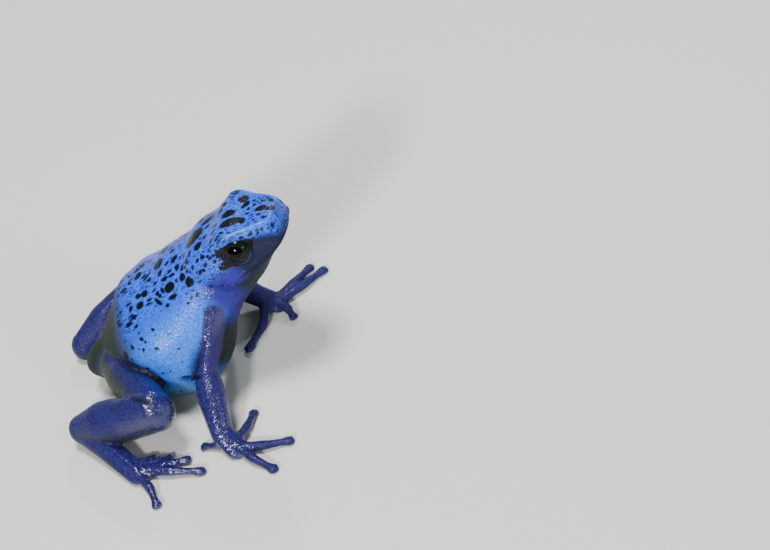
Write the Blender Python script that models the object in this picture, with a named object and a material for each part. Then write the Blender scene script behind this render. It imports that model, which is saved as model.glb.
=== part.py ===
"""Blue poison dart frog, life size, sitting up on its arms with its head turned a little to its right.

World axes: the frog faces +X, its left side is +Y, and it sits on the floor at Z = 0. The origin is
the middle of its footprint. Sizes and places below are in millimetres, measured from the vent, and
become metres when a mesh is made.
"""

import math

import bmesh
import bpy
import numpy as np
from mathutils import Matrix, Vector

MM = 0.001
GAP = 0.3                     # clearance between neighbouring sub-parts
MIDDLE = (15.2, -2.2)         # middle of the footprint, ahead of the vent and to its left

# Trunk, from the vent to the neck: ahead, height, half width, reach above and below the spine line.
TRUNK = (
    (-0.6, 4.1, 1.6, 1.1, 1.4),
    (0.8, 4.7, 2.9, 1.8, 2.5),
    (3.4, 5.8, 4.6, 2.4, 4.1),
    (6.4, 7.0, 7.0, 4.7, 6.2),
    (9.2, 7.8, 9.3, 7.6, 7.4),
    (13.0, 8.6, 11.0, 8.3, 8.2),
    (16.6, 10.5, 10.2, 8.0, 7.5),
    (20.0, 13.2, 8.7, 7.5, 4.9),
    (23.0, 15.8, 7.4, 6.4, 3.9),
    (26.0, 18.2, 6.3, 4.8, 3.8),
    (28.5, 20.0, 4.6, 3.2, 3.2),
)
BELLY_SQUARENESS = 3.3        # superellipse power of the sagging belly
BACK_SQUARENESS = 2.1

# Head, in its own frame: ahead of the neck, half width, height of the widest point, top, bottom, and
# the superellipse power of its crown, as the snout is boxy and the nape round.
NECK = (23.3, 0.0, 19.1)
HEAD_PITCH, HEAD_ROLL, HEAD_YAW = 19.8, -4.6, -12.2
HEAD = (
    (-7.0, 3.2, -2.2, -0.6, -3.8, 2.7),
    (-4.2, 5.0, -1.8, 2.4, -4.8, 2.7),
    (-1.2, 6.3, -1.6, 3.9, -6.1, 2.7),
    (2.0, 6.7, -1.7, 4.1, -6.1, 2.7),
    (5.0, 6.35, -1.7, 4.4, -5.5, 2.9),
    (7.8, 4.85, -1.4, 3.4, -3.6, 3.3),
    (9.8, 4.05, -1.0, 3.25, -2.4, 3.6),
    (11.2, 3.45, -0.5, 2.65, -1.6, 3.6),
    (12.0, 2.1, 0.0, 2.1, -0.9, 3.0),
    (12.45, 0.95, 0.25, 1.05, -0.45, 2.4),
)
SNOUT_TIP = (12.6, 0.0, 0.35)
THROAT_SQUARENESS = 2.0
EYE = (6.2, 4.3, 1.5)         # centre of an eye, in the head's frame
EYE_RADIUS = 2.05
EYE_FACES = (0.12, 0.9, 0.42)  # way an eye looks: ahead, outward, up
BROW_CREST = (6.45, 4.05, 2.7)  # middle of the swelling over an eye
BROW = (1.35, 2.3)            # rise of that swelling, and its spread
LID_RADIUS, LID_THICK, LID_DEEP, LID_OUT = 2.3, 0.42, 0.5, 0.9
NOSTRIL = (11.65, 2.65, 1.35)
NOSTRIL_RADIUS = 0.33
# Line of the mouth, from its corner to the middle of the snout: ahead, share of the head's half
# width, height.
MOUTH = (
    (4.2, 1.0, -2.0),
    (6.5, 1.0, -1.75),
    (8.6, 1.0, -1.6),
    (10.3, 1.0, -1.25),
    (11.3, 0.97, -0.95),
    (11.95, 0.6, -0.75),
    (12.2, 0.0, -0.7),
)
MOUTH_DEPTH, MOUTH_OPEN, MOUTH_CLEAR = 0.55, 0.3, 1.2
LIP = (0.22, 0.6)             # rise of the lips, and the spread of that rise above and below the mouth
NECK_CUT = -0.6               # place of the neck's parting ahead of NECK
NECK_REACH, NECK_LOW = 5.5, 16.5  # the neck is smoothed this far from its parting, above this height
NECK_ROUNDS = 5

# Limbs. Each side has its own joints, as the pose isn't symmetric.
JOINTS = {
    "right": {
        "shoulder": (22.2, -6.2, 13.9), "elbow": (17.3, -11.2, 6.7), "wrist": (17.6, -18.0, 2.3),
        "hip": (3.6, -3.0, 5.6), "knee": (9.7, -15.6, 7.3), "heel": (-2.5, -10.6, 2.4),
        "sole": (4.9, -20.3, 0.78),
    },
    "left": {
        "shoulder": (22.2, 6.2, 13.7), "elbow": (17.3, 11.2, 6.6), "wrist": (24.1, 7.0, 2.3),
        "hip": (3.6, 3.0, 5.4), "knee": (9.8, 14.7, 3.7), "heel": (-2.2, 6.6, 1.9),
        "sole": (4.2, 15.7, 0.85),
    },
}
PALM = {"right": (19.2, -20.3, 0.85), "left": (26.6, 5.9, 0.85)}

# Limb girths: share of the way along, half width across the bend, half depth.
UPPER_ARM = ((0.0, 2.6, 2.6), (0.3, 2.2, 2.3), (0.65, 1.85, 1.9), (1.0, 1.95, 1.95))
FOREARM = ((0.0, 1.9, 1.9), (0.35, 2.05, 2.05), (0.75, 1.9, 1.85), (1.0, 1.65, 1.55))
THIGH = ((0.0, 2.3, 2.6), (0.3, 2.9, 3.2), (0.7, 2.9, 3.1), (1.0, 2.7, 2.8))
SHANK = ((0.0, 2.75, 3.3), (0.25, 3.05, 3.4), (0.65, 3.0, 3.25), (1.0, 2.1, 2.35))
TARSUS = ((0.0, 1.95, 2.0), (0.4, 1.75, 1.55), (0.8, 1.75, 1.1), (1.0, 1.75, 0.9))
HAND = ((0.0, 1.75, 1.5), (0.6, 1.75, 1.1), (1.0, 1.75, 0.85))

# Digits: the bend and the tip of each. They grow from the line that ends at the palm or sole.
FINGERS = {
    "right": {
        "1": ((16.8, -18.9, 0.8), (14.0, -17.9, 0.38)),
        "2": ((21.0, -16.9, 0.95), (22.1, -13.7, 0.38)),
        "3": ((23.2, -21.2, 0.9), (27.4, -21.2, 0.38)),
        "4": ((21.6, -23.2, 0.85), (24.6, -26.0, 0.38)),
    },
    "left": {
        "1": ((24.3, 2.2, 0.85), (21.6, -1.9, 0.38)),
        "2": ((28.2, 4.0, 0.95), (29.0, 2.1, 0.38)),
        "3": ((30.6, 7.9, 0.9), (34.4, 10.8, 0.38)),
        "4": ((29.4, 9.0, 0.85), (32.3, 12.1, 0.38)),
    },
}
TOES = {
    "right": {
        "1": ((6.3, -18.3, 0.9), (7.4, -17.4, 0.38)),
        "2": ((7.6, -19.0, 0.9), (9.9, -18.5, 0.38)),
        "3": ((8.8, -20.1, 0.95), (12.5, -19.6, 0.38)),
        "4": ((9.6, -21.5, 0.95), (14.5, -22.7, 0.38)),
        "5": ((6.5, -23.6, 0.9), (7.35, -27.1, 0.38)),
    },
    "left": {
        "1": ((6.0, 16.2, 0.9), (7.2, 16.0, 0.38)),
        "2": ((6.9, 17.2, 0.9), (8.9, 17.5, 0.38)),
        "3": ((7.6, 18.3, 0.95), (10.6, 19.6, 0.38)),
        "4": ((7.8, 19.7, 0.95), (11.4, 22.3, 0.38)),
        "5": ((5.6, 19.4, 0.9), (7.0, 22.6, 0.38)),
    },
}
# Roots of the digits: share of the way from the wrist to the palm, and from the heel to the sole.
FINGER_ROOTS = {"1": 0.45, "2": 0.85, "3": 1.0, "4": 0.9}
TOE_ROOTS = {"1": 0.84, "2": 0.9, "3": 0.97, "4": 0.95, "5": 0.88}
# Digit girths: share of the way along, half width, half thickness. The last swelling is the disc.
DIGIT = ((0.0, 0.85, 0.85), (0.35, 0.66, 0.66), (0.55, 0.72, 0.68), (0.78, 0.52, 0.5),
         (0.86, 0.72, 0.46), (0.95, 0.88, 0.44), (1.0, 0.7, 0.36))

AROUND_BODY = 44
AROUND_LIMB = 16
AROUND_DIGIT = 8
LID_STEPS = 24

SKIN = {
    "back": ((0.045, 0.19, 0.74), 0.32),
    "head": ((0.05, 0.2, 0.78), 0.3),
    "limb": ((0.028, 0.03, 0.26), 0.3),
    "eye": ((0.004, 0.006, 0.005), 0.05),
}


def clear_scene():
    for obj in list(bpy.data.objects):
        bpy.data.objects.remove(obj, do_unlink=True)


def new_collection(name):
    collection = bpy.data.collections.new(name)
    bpy.context.scene.collection.children.link(collection)
    return collection


def skin_material(name, finish):
    colour, roughness = SKIN[finish]
    material = bpy.data.materials.new(name)
    material.use_nodes = True
    shader = material.node_tree.nodes["Principled BSDF"]
    shader.inputs["Base Color"].default_value = (*colour, 1.0)
    shader.inputs["Roughness"].default_value = roughness
    shader.inputs["Metallic"].default_value = 0.0
    return material


def unit(vector):
    vector = np.asarray(vector, float)
    return vector / np.linalg.norm(vector)


def smooth_rows(rows, shares):
    """Rows of numbers read from a smooth curve that passes through all of them."""
    rows = np.asarray(rows, float)
    place = np.clip(np.asarray(shares, float), 0.0, 1.0) * (len(rows) - 1)
    before = np.minimum(place.astype(int), len(rows) - 2)
    t = (place - before)[:, None]
    slopes = np.gradient(rows, axis=0)
    start, end = rows[before], rows[before + 1]
    slope_start, slope_end = slopes[before], slopes[before + 1]
    return ((2 * t**3 - 3 * t**2 + 1) * start + (t**3 - 2 * t**2 + t) * slope_start
            + (3 * t**2 - 2 * t**3) * end + (t**3 - t**2) * slope_end)


def at_shares(table, shares):
    """Values of a table whose first column is the share of the way along."""
    table = np.asarray(table, float)
    return np.stack([np.interp(shares, table[:, 0], column) for column in table[:, 1:].T], axis=1)


def section(count, half, above, below, power_above, power_below):
    """Closed outline, across and up, of a superellipse with its own reach above and below."""
    angle = np.arange(count) * 2 * math.pi / count
    cosine, sine = np.cos(angle), np.sin(angle)
    power = np.where(sine >= 0, power_above, power_below)
    reach = np.where(sine >= 0, above, below)
    across = half * np.sign(cosine) * np.abs(cosine) ** (2 / power)
    upward = reach * np.sign(sine) * np.abs(sine) ** (2 / power)
    return across, upward


def closed_loft(rings, first, last):
    """A closed mesh through rings of points, with a fan to a point at each end."""
    shape = bmesh.new()
    loops = [[shape.verts.new(point) for point in ring] for ring in rings]
    count = len(loops[0])
    for loop, after in zip(loops, loops[1:]):
        for i in range(count):
            j = (i + 1) % count
            shape.faces.new((loop[i], loop[j], after[j], after[i]))
    for loop, tip in ((loops[0], first), (loops[-1], last)):
        point = shape.verts.new(tip)
        for i in range(count):
            shape.faces.new((loop[i], loop[(i + 1) % count], point))
    bmesh.ops.recalc_face_normals(shape, faces=shape.faces[:])
    return shape


def cut_away(shape, point, normal):
    """Cuts off what lies ahead of a plane and closes the cut with a flat face."""
    normal = Vector(unit(normal))
    geometry = shape.verts[:] + shape.edges[:] + shape.faces[:]
    cut = bmesh.ops.bisect_plane(shape, geom=geometry, plane_co=Vector(point), plane_no=normal,
                                 clear_outer=True)
    edges = [item for item in cut["geom_cut"] if isinstance(item, bmesh.types.BMEdge)]
    if edges:
        bmesh.ops.edgeloop_fill(shape, edges=edges)
    bmesh.ops.recalc_face_normals(shape, faces=shape.faces[:])


def add_node(shape, name, collection, material=None):
    """Makes an object of a shape in millimetres, with its place in its mesh."""
    shift = Matrix.Translation((-MIDDLE[0], -MIDDLE[1], 0.0))
    bmesh.ops.transform(shape, matrix=Matrix.Scale(MM, 4) @ shift, verts=shape.verts[:])
    mesh = bpy.data.meshes.new(name)
    shape.to_mesh(mesh)
    shape.free()
    mesh.shade_smooth()
    mesh.set_sharp_from_angle(angle=math.radians(40))
    obj = bpy.data.objects.new(name, mesh)
    collection.objects.link(obj)
    if material:
        mesh.materials.append(material)
    return obj


def add_limb_node(shape, name, collection):
    return add_node(shape, name, collection, skin_material(f"{name}_skin", "limb"))


def add_cutter(shape, name, collection):
    obj = add_node(shape, name, collection)
    obj.hide_render = True
    obj.display_type = "WIRE"
    return obj


def combine(obj, other, operation):
    modifier = obj.modifiers.new(f"{operation.lower()}_{other.name}", "BOOLEAN")
    modifier.operation = operation
    modifier.object = other
    modifier.solver = "EXACT"


def settle(obj):
    """Applies an object's modifiers and keeps its largest closed surface."""
    graph = bpy.context.evaluated_depsgraph_get()
    mesh = bpy.data.meshes.new_from_object(obj.evaluated_get(graph))
    obj.modifiers.clear()
    shape = bmesh.new()
    shape.from_mesh(mesh)
    bmesh.ops.remove_doubles(shape, verts=shape.verts[:], dist=0.02 * MM)
    bmesh.ops.dissolve_degenerate(shape, edges=shape.edges[:], dist=0.01 * MM)
    left = set(shape.faces)
    groups = []
    while left:
        group, queue = set(), [left.pop()]
        while queue:
            face = queue.pop()
            group.add(face)
            for edge in face.edges:
                for near in edge.link_faces:
                    if near in left:
                        left.discard(near)
                        queue.append(near)
        groups.append(group)
    groups.sort(key=lambda faces: sum(face.calc_area() for face in faces), reverse=True)
    for group in groups[1:]:
        bmesh.ops.delete(shape, geom=list(group), context="FACES")
    bmesh.ops.triangulate(shape, faces=shape.faces[:])
    shape.to_mesh(obj.data)
    shape.free()
    bpy.data.meshes.remove(mesh)


def unshifted_shape(mesh):
    """A shape in millimetres from the vent, read from a finished mesh."""
    shape = bmesh.new()
    shape.from_mesh(mesh)
    bmesh.ops.transform(shape, matrix=Matrix.Translation((MIDDLE[0], MIDDLE[1], 0.0))
                        @ Matrix.Scale(1 / MM, 4), verts=shape.verts[:])
    return shape


def smooth_neck(shape, point, normal):
    """Eases the step where the head's loft comes out of the trunk's."""
    point, normal = Vector(point), Vector(normal)
    near = [vertex for vertex in shape.verts
            if abs((vertex.co - point).dot(normal)) < NECK_REACH and vertex.co.z > NECK_LOW]
    for _ in range(NECK_ROUNDS):
        bmesh.ops.smooth_vert(shape, verts=near, factor=0.5, use_axis_x=True, use_axis_y=True,
                              use_axis_z=True)


def trunk_shape(grow=0.0, rows=26):
    """The trunk: a bent loft, pelvis low and chest raised, with a belly that sags to the floor."""
    stations = smooth_rows(TRUNK, np.linspace(0.0, 1.0, rows))
    ahead, height, half, above, below = stations.T
    heading = np.stack([np.gradient(ahead), np.gradient(height)], axis=1)
    heading /= np.linalg.norm(heading, axis=1)[:, None]
    rings = []
    for i in range(rows):
        across, upward = section(AROUND_BODY, half[i] + grow, above[i] + grow, below[i] + grow,
                                 BACK_SQUARENESS, BELLY_SQUARENESS)
        rings.append(np.stack([ahead[i] - heading[i, 1] * upward, across,
                               height[i] + heading[i, 0] * upward], axis=1))
    ends = []
    for i, way in ((0, -1.0), (-1, 1.0)):
        reach = way * (0.6 * above[i] + grow)
        ends.append((ahead[i] + heading[i, 0] * reach, 0.0, height[i] + heading[i, 1] * reach))
    return closed_loft(rings, *ends)


def head_frame():
    """Matrix from the head's frame, which is ahead, left and up from the neck, to the world's."""
    turn = (Matrix.Rotation(math.radians(HEAD_YAW), 4, "Z")
            @ Matrix.Rotation(math.radians(-HEAD_PITCH), 4, "Y")
            @ Matrix.Rotation(math.radians(HEAD_ROLL), 4, "X"))
    return Matrix.Translation(NECK) @ turn


def lid_rise(points):
    """Rise of the skin over the eyes, largest at each eye and fading as a bell curve."""
    rise = np.zeros(len(points))
    for side in (1.0, -1.0):
        away = points - np.multiply(BROW_CREST, (1.0, side, 1.0))
        rise += BROW[0] * np.exp(-np.sum(away**2, axis=1) / (2 * BROW[1] ** 2))
    return rise


def lip_rise(points):
    """Rise of the lips along the line of the mouth, from its corner to the snout."""
    line = np.asarray(MOUTH)
    height = np.interp(points[:, 0], line[:, 0], line[:, 2])
    ahead = np.clip(points[:, 0] - line[0, 0], 0.0, 1.0)
    return LIP[0] * ahead * np.exp(-(points[:, 2] - height) ** 2 / (2 * LIP[1] ** 2))


def head_shape(grow=0.0, rows=30):
    """The head: a loft from the neck to the snout's tip, swollen over the eyes and at the lips."""
    stations = smooth_rows(HEAD, np.linspace(0.0, 1.0, rows))
    rings = []
    for ahead, half, widest, top, bottom, crown in stations:
        across, upward = section(AROUND_BODY, half, top - widest, widest - bottom,
                                 crown, THROAT_SQUARENESS)
        ring = np.stack([np.full(AROUND_BODY, ahead), across, widest + upward], axis=1)
        middle = np.array([ahead, 0.0, (top + bottom) / 2])
        outward = ring - middle
        outward /= np.linalg.norm(outward, axis=1)[:, None]
        rings.append(ring + outward * (lid_rise(ring) + lip_rise(ring) + grow)[:, None])
    back = (HEAD[0][0] - 0.5 - grow, 0.0, HEAD[0][2])
    tip = (SNOUT_TIP[0] + grow, SNOUT_TIP[1], SNOUT_TIP[2])
    shape = closed_loft(rings, back, tip)
    bmesh.ops.transform(shape, matrix=head_frame(), verts=shape.verts[:])
    return shape


def ball(centre, radius, segments=20, rings=12):
    shape = bmesh.new()
    bmesh.ops.create_uvsphere(shape, u_segments=segments, v_segments=rings, radius=radius)
    bmesh.ops.translate(shape, verts=shape.verts[:], vec=Vector(centre))
    return shape


def in_head(point, side=1.0):
    """World place of a point in the head's frame, on the left or mirrored to the right."""
    return head_frame() @ Vector((point[0], side * point[1], point[2]))


def lid_ring(side):
    """The rim of the lids: a ring round the eye, facing out of the head and a little forward."""
    outward = unit((EYE_FACES[0], side * EYE_FACES[1], EYE_FACES[2]))
    first = unit(np.cross(outward, (0.0, 0.0, 1.0)))
    second = np.cross(outward, first)
    centre = np.array([EYE[0], side * EYE[1], EYE[2]]) + outward * LID_OUT
    steps, sides = LID_STEPS, 6
    shape = bmesh.new()
    loops = []
    for i in range(steps):
        turn = 2 * math.pi * i / steps
        radial = math.cos(turn) * first + math.sin(turn) * second
        loop = []
        for j in range(sides):
            roll = 2 * math.pi * j / sides
            point = (centre + radial * (LID_RADIUS + LID_THICK * math.cos(roll))
                     + outward * LID_DEEP * math.sin(roll))
            loop.append(shape.verts.new(head_frame() @ Vector(point)))
        loops.append(loop)
    for i in range(steps):
        for j in range(sides):
            near, far = loops[i], loops[(i + 1) % steps]
            shape.faces.new((near[j], near[(j + 1) % sides], far[(j + 1) % sides], far[j]))
    bmesh.ops.recalc_face_normals(shape, faces=shape.faces[:])
    return shape


def mouth_blade():
    """A thin band along the line of the mouth, from one corner round the snout to the other."""
    stations = np.asarray(HEAD)
    rows = smooth_rows(MOUTH, np.linspace(0.0, 1.0, 14))
    half = np.interp(rows[:, 0], stations[:, 0], stations[:, 1]) * rows[:, 1]
    right = np.stack([rows[:, 0], -half, rows[:, 2]], axis=1)
    line = np.concatenate([right, right[-2::-1] * np.array([1.0, -1.0, 1.0])])
    heading = np.gradient(line, axis=0)
    outward = np.stack([heading[:, 1], -heading[:, 0], np.zeros(len(line))], axis=1)
    outward /= np.linalg.norm(outward, axis=1)[:, None]
    from_end = np.minimum(np.arange(len(line)), np.arange(len(line))[::-1])
    rise = np.array([0.0, 0.0, MOUTH_OPEN / 2])
    rings = []
    for point, away, deep in zip(line, outward, np.clip(from_end / 2, 0.1, 1.0) * MOUTH_DEPTH):
        inner = point - away * deep
        outer = point + away * MOUTH_CLEAR
        ring = np.array([inner - rise / 2, outer - rise, outer + rise, inner + rise / 2])
        rings.append([head_frame() @ Vector(corner) for corner in ring])
    middles = [sum(ring, Vector()) / 4 for ring in (rings[0], rings[-1])]
    return closed_loft(rings, *middles)


def tube_rings(path, widths, depths, count):
    """Elliptic rings square to a path, their depth as near upright as can be."""
    path = np.asarray(path, float)
    heading = np.gradient(path, axis=0)
    heading /= np.linalg.norm(heading, axis=1)[:, None]
    side = np.cross(heading, (0.0, 0.0, 1.0))
    side /= np.linalg.norm(side, axis=1)[:, None]
    rise = np.cross(side, heading)
    angle = np.arange(count) * 2 * math.pi / count
    return [point + np.outer(np.cos(angle) * wide, across) + np.outer(np.sin(angle) * deep, up)
            for point, wide, deep, across, up in zip(path, widths, depths, side, rise)]


def limb_shape(start, end, girth, grow=0.0, rows=9):
    """A limb's length with rounded ends, its girth read from a table."""
    start, end = np.asarray(start, float), np.asarray(end, float)
    length = np.linalg.norm(end - start)
    heading = (end - start) / length
    girths = at_shares(girth, np.linspace(0.0, 1.0, rows)) + grow
    path = start + np.outer(np.linspace(0.0, 1.0, rows), end - start)
    swell = [math.radians(angle) for angle in (66, 40, 18)]
    widths, depths, points = list(girths[:, 0]), list(girths[:, 1]), list(path)
    for turn in swell[::-1]:
        points.insert(0, start - heading * girths[0, 0] * math.sin(turn))
        widths.insert(0, girths[0, 0] * math.cos(turn))
        depths.insert(0, girths[0, 1] * math.cos(turn))
    for turn in swell[::-1]:
        points.append(end + heading * girths[-1, 0] * math.sin(turn))
        widths.append(girths[-1, 0] * math.cos(turn))
        depths.append(girths[-1, 1] * math.cos(turn))
    rings = tube_rings(points, widths, depths, AROUND_LIMB)
    return closed_loft(rings, start - heading * girths[0, 0], end + heading * girths[-1, 0])


def part_at_joint(shape, joint, before, after, keep):
    """Cuts a limb's length at a joint, along the plane that halves the bend, less half the gap."""
    incoming = unit(np.subtract(joint, before))
    outgoing = unit(np.subtract(after, joint))
    normal = unit(incoming + outgoing)
    if keep == "after":
        normal = -normal
    cut_away(shape, np.asarray(joint) - normal * GAP / 2, normal)


def digit_shape(root, bend, tip, grow=0.0):
    """A finger or toe: a slim tube, swollen at its joint, ending in a blunt disc."""
    knuckles = np.array([root, np.add(root, bend) / 2, bend, np.add(bend, tip) / 2, tip], float)
    shares = np.array([0.0, 0.12, 0.24, 0.36, 0.48, 0.6, 0.72, 0.8, 0.86, 0.92, 0.97])
    path = smooth_rows(knuckles, shares)
    girths = at_shares(DIGIT, shares) + grow
    rings = tube_rings(path, girths[:, 0], girths[:, 1], AROUND_DIGIT)
    heading = unit(np.subtract(tip, bend))
    return closed_loft(rings, path[0] - heading * 0.2, np.asarray(tip, float) + heading * 0.15)


def build():
    clear_scene()
    frog = new_collection("blue_poison_dart_frog")
    tools = new_collection("cutters")

    floor_plane = ((0.0, 0.0, 0.0), (0.0, 0.0, -1.0))
    neck_normal = unit(head_frame().to_3x3() @ Vector((1.0, 0.0, 0.0)))
    neck_point = np.array(in_head((NECK_CUT, 0.0, 0.0)))

    body = add_cutter(trunk_shape(), "body", tools)
    front = add_cutter(head_shape(), "front", tools)
    combine(body, front, "UNION")
    settle(body)
    wide_trunk = add_cutter(trunk_shape(GAP), "wide_trunk", tools)
    wide_head = add_cutter(head_shape(GAP), "wide_head", tools)

    nodes = []
    for name, way in (("trunk", 1.0), ("head", -1.0)):
        shape = unshifted_shape(body.data)
        smooth_neck(shape, neck_point, neck_normal)
        cut_away(shape, neck_point - way * neck_normal * GAP / 2, way * neck_normal)
        finish = "back" if name == "trunk" else "head"
        nodes.append(add_node(shape, name, frog, skin_material(f"{name}_skin", finish)))
    trunk, head = nodes
    bpy.data.objects.remove(body)
    bpy.data.objects.remove(front)

    for side, way in (("left", 1.0), ("right", -1.0)):
        ring = add_cutter(lid_ring(way), f"lid_{side}", tools)
        combine(head, ring, "UNION")
    for side, way in (("left", 1.0), ("right", -1.0)):
        socket = add_cutter(ball(in_head(EYE, way), EYE_RADIUS + GAP), f"socket_{side}", tools)
        combine(head, socket, "DIFFERENCE")
        nostril = ball(in_head(NOSTRIL, way), NOSTRIL_RADIUS, 10, 6)
        combine(head, add_cutter(nostril, f"nostril_{side}", tools), "DIFFERENCE")
    combine(head, add_cutter(mouth_blade(), "mouth", tools), "DIFFERENCE")
    for side, way in (("left", 1.0), ("right", -1.0)):
        add_node(ball(in_head(EYE, way), EYE_RADIUS), f"eye_{side}", frog,
                 skin_material(f"eye_{side}_wet", "eye"))

    for side in ("left", "right"):
        joint = JOINTS[side]
        palm = PALM[side]

        shape = limb_shape(joint["shoulder"], joint["elbow"], UPPER_ARM)
        part_at_joint(shape, joint["elbow"], joint["shoulder"], joint["wrist"], "before")
        upper_arm = add_limb_node(shape, f"upper_arm_{side}", frog)
        combine(upper_arm, wide_trunk, "DIFFERENCE")
        combine(upper_arm, wide_head, "DIFFERENCE")

        shape = limb_shape(joint["elbow"], joint["wrist"], FOREARM)
        part_at_joint(shape, joint["elbow"], joint["shoulder"], joint["wrist"], "after")
        part_at_joint(shape, joint["wrist"], joint["elbow"], palm, "before")
        forearm = add_limb_node(shape, f"forearm_{side}", frog)
        combine(forearm, wide_trunk, "DIFFERENCE")

        shape = limb_shape(joint["wrist"], palm, HAND)
        part_at_joint(shape, joint["wrist"], joint["elbow"], palm, "after")
        cut_away(shape, *floor_plane)
        add_limb_node(shape, f"hand_{side}", frog)
        wide_hand = add_cutter(limb_shape(joint["wrist"], palm, HAND, GAP), f"wide_hand_{side}", tools)

        shape = limb_shape(joint["hip"], joint["knee"], THIGH)
        part_at_joint(shape, joint["knee"], joint["hip"], joint["heel"], "before")
        thigh = add_limb_node(shape, f"thigh_{side}", frog)
        combine(thigh, wide_trunk, "DIFFERENCE")

        shape = limb_shape(joint["knee"], joint["heel"], SHANK)
        part_at_joint(shape, joint["knee"], joint["hip"], joint["heel"], "after")
        part_at_joint(shape, joint["heel"], joint["knee"], joint["sole"], "before")
        cut_away(shape, *floor_plane)
        shank = add_limb_node(shape, f"shank_{side}", frog)
        combine(shank, wide_trunk, "DIFFERENCE")

        shape = limb_shape(joint["heel"], joint["sole"], TARSUS)
        part_at_joint(shape, joint["heel"], joint["knee"], joint["sole"], "after")
        cut_away(shape, *floor_plane)
        add_limb_node(shape, f"foot_{side}", frog)
        wide_foot = add_cutter(limb_shape(joint["heel"], joint["sole"], TARSUS, GAP),
                               f"wide_foot_{side}", tools)

        for kind, digits, roots, start, end, cutter in (
                ("finger", FINGERS[side], FINGER_ROOTS, joint["wrist"], palm, wide_hand),
                ("toe", TOES[side], TOE_ROOTS, joint["heel"], joint["sole"], wide_foot)):
            beside = None
            for number, (bend, tip) in digits.items():
                root = np.multiply(start, 1 - roots[number]) + np.multiply(end, roots[number])
                shape = digit_shape(root, bend, tip)
                cut_away(shape, *floor_plane)
                name = f"{kind}_{number}_{side}"
                digit = add_limb_node(shape, name, frog)
                combine(digit, cutter, "DIFFERENCE")
                if beside:
                    combine(digit, beside, "DIFFERENCE")
                beside = add_cutter(digit_shape(root, bend, tip, GAP), f"wide_{name}", tools)

    for obj in list(frog.objects):
        if obj.modifiers:
            settle(obj)
    for cutter in list(tools.objects):
        bpy.data.objects.remove(cutter)


build()
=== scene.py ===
# %% [markdown]
# # A blue poison dart frog, sitting up
#
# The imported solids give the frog's size, pose and parts. This script gives it its looks: one moist skin
# without a seam over all the solid flesh, two wet eyes, and the spots and netting of the skin.
# The skin is worked out in millimetres measured from the vent: ahead, to the left, and up from the floor.

import math

import bmesh
import bpy
import numpy as np
from mathutils import Matrix, Vector
from mathutils.bvhtree import BVHTree


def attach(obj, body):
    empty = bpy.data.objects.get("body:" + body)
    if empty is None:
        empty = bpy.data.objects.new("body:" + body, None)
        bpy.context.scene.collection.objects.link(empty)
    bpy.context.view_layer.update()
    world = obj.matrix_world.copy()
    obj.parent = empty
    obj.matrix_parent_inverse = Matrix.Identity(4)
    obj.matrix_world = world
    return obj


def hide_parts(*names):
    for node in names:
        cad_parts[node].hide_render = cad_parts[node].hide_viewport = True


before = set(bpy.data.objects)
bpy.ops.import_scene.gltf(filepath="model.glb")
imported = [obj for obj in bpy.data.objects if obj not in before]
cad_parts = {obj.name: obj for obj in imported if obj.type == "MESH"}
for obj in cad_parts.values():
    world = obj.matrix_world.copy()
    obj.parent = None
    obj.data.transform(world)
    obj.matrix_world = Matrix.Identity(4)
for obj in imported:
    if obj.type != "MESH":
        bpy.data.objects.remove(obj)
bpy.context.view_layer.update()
MM = 0.001
MIDDLE = np.array([15.2, -2.2, 0.0])      # middle of the footprint, where the frame has its origin

# %% [markdown]
# ## The shape of the body
#
# A frog's trunk is a bag of soft skin hung from a short stiff back. Carving it by hand would work, but
# its outline would be hard to steer. Here it is a loft: a few named stations say how wide and how deep
# the body is along its spine, a smooth curve runs through them, and each station is a rounded
# superellipse. The head is made in the same way, in its own frame, as it turns on the neck.

# %% Stations of the trunk and the head
# Trunk, from the vent to the neck: ahead, height, half width, reach above and below the spine line.
TRUNK = (
    (-0.6, 4.1, 1.6, 1.1, 1.4),
    (0.8, 4.7, 2.9, 1.8, 2.5),
    (3.4, 5.8, 4.6, 2.4, 4.1),
    (6.4, 7.0, 7.0, 4.7, 6.2),
    (9.2, 7.8, 9.3, 7.6, 7.4),
    (13.0, 8.6, 11.0, 8.3, 8.2),
    (16.6, 10.5, 10.2, 8.0, 7.5),
    (20.0, 13.2, 8.7, 7.5, 4.9),
    (23.0, 15.8, 7.4, 6.4, 3.9),
    (26.0, 18.2, 6.3, 4.8, 3.8),
    (28.5, 20.0, 4.6, 3.2, 3.2),
)
BELLY_SQUARENESS = 3.3        # power of the superellipse where the belly sags
BACK_SQUARENESS = 2.1

# Head, in its own frame: ahead of the neck, half width, height of the widest point, top, bottom, and
# the squareness of its crown, as the snout is boxy and the nape round.
HEAD = (
    (-7.0, 3.2, -2.2, -0.6, -3.8, 2.7),
    (-4.2, 5.0, -1.8, 2.4, -4.8, 2.7),
    (-1.2, 6.3, -1.6, 3.9, -6.1, 2.7),
    (2.0, 6.7, -1.7, 4.1, -6.1, 2.7),
    (5.0, 6.35, -1.7, 4.4, -5.5, 2.9),
    (7.8, 4.85, -1.4, 3.4, -3.6, 3.3),
    (9.8, 4.05, -1.0, 3.25, -2.4, 3.6),
    (11.2, 3.7, -0.5, 2.8, -1.6, 3.6),
    (12.0, 2.75, 0.0, 2.35, -0.9, 3.2),
    (12.45, 0.95, 0.25, 1.05, -0.45, 2.4),
)
THROAT_SQUARENESS = 2.0
SNOUT_TIP = (12.6, 0.0, 0.35)
NECK = np.array([23.3, 0.0, 19.1])
HEAD_PITCH, HEAD_ROLL, HEAD_YAW = 19.8, -4.6, -12.2

# Eyes, in the head's frame: centre, size, and the way they look.
EYE = np.array([6.2, 4.3, 1.5])
EYE_RADIUS = 2.05
EYE_FACES = np.array([0.16, 0.9, 0.34])
BROW_CREST = np.array([6.45, 4.05, 2.7])  # middle of the swelling over an eye
BROW_RISE, BROW_SPREAD = 1.35, 2.3


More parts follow.
